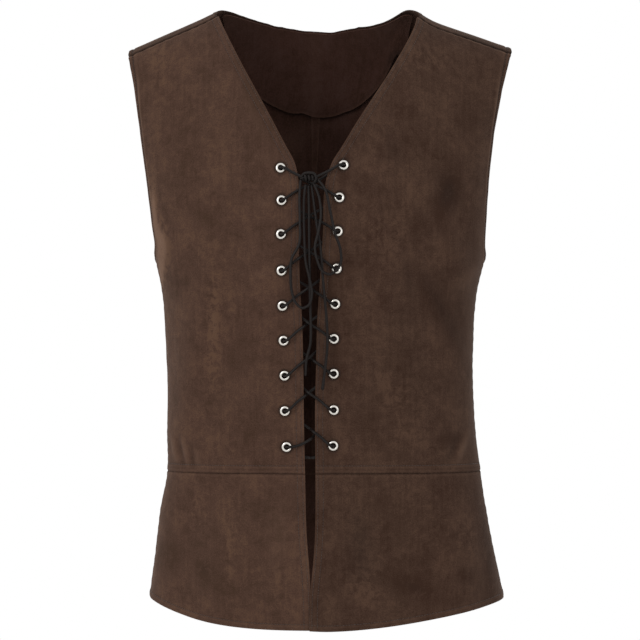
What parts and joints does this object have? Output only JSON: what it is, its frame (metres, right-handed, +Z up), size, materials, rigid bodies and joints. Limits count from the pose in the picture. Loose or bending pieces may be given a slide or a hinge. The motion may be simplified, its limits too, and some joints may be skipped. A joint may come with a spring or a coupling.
{
  "type": "renaissance vest",
  "caption": "Sleeveless V-neck vest with a waist seam and short skirt, open down the front and closed by a cord laced through eyelets and tied in a bow.",
  "frame": {"origin": "between the two neck points of the shoulders, at their height, where the wearer carries the vest", "axes": "+Z up along the body, -Y the way the front faces, +X towards the wearer's left"},
  "size_m": [0.4321, 0.253, 0.6941],
  "materials": {
    "faux_suede_front_right": "matt brushed nap",
    "faux_suede_front_left": "matt brushed nap",
    "faux_suede_back_right": "matt brushed nap",
    "faux_suede_back_left": "matt brushed nap",
    "faux_suede_skirt_right": "matt brushed nap",
    "faux_suede_skirt_left": "matt brushed nap",
    "faux_suede_skirt_back": "matt brushed nap",
    "faux_suede_facing": "matt",
    "nickel_plated_brass": "polished nickel plate",
    "black_cord": "matt braid"
  },
  "bodies": {
    "root": {"front_right": "faux_suede_front_right", "front_left": "faux_suede_front_left", "back_right": "faux_suede_back_right", "back_left": "faux_suede_back_left", "skirt_front_right": "faux_suede_skirt_right", "skirt_front_left": "faux_suede_skirt_left", "skirt_back": "faux_suede_skirt_back", "back_neck_facing": "faux_suede_facing", "eyelet_right_1": "nickel_plated_brass", "eyelet_right_2": "nickel_plated_brass", "eyelet_right_3": "nickel_plated_brass", "eyelet_right_4": "nickel_plated_brass", "eyelet_right_5": "nickel_plated_brass", "eyelet_right_6": "nickel_plated_brass", "eyelet_right_7": "nickel_plated_brass", "eyelet_right_8": "nickel_plated_brass", "eyelet_right_9": "nickel_plated_brass", "eyelet_left_1": "nickel_plated_brass", "eyelet_left_2": "nickel_plated_brass", "eyelet_left_3": "nickel_plated_brass", "eyelet_left_4": "nickel_plated_brass", "eyelet_left_5": "nickel_plated_brass", "eyelet_left_6": "nickel_plated_brass", "eyelet_left_7": "nickel_plated_brass", "eyelet_left_8": "nickel_plated_brass", "eyelet_left_9": "nickel_plated_brass", "lace_from_right": "black_cord", "lace_from_left": "black_cord", "lace_knot": "black_cord", "lace_loop_right": "black_cord", "lace_loop_left": "black_cord", "lace_end_right": "black_cord", "lace_end_left": "black_cord"}
  },
  "joints": []
}
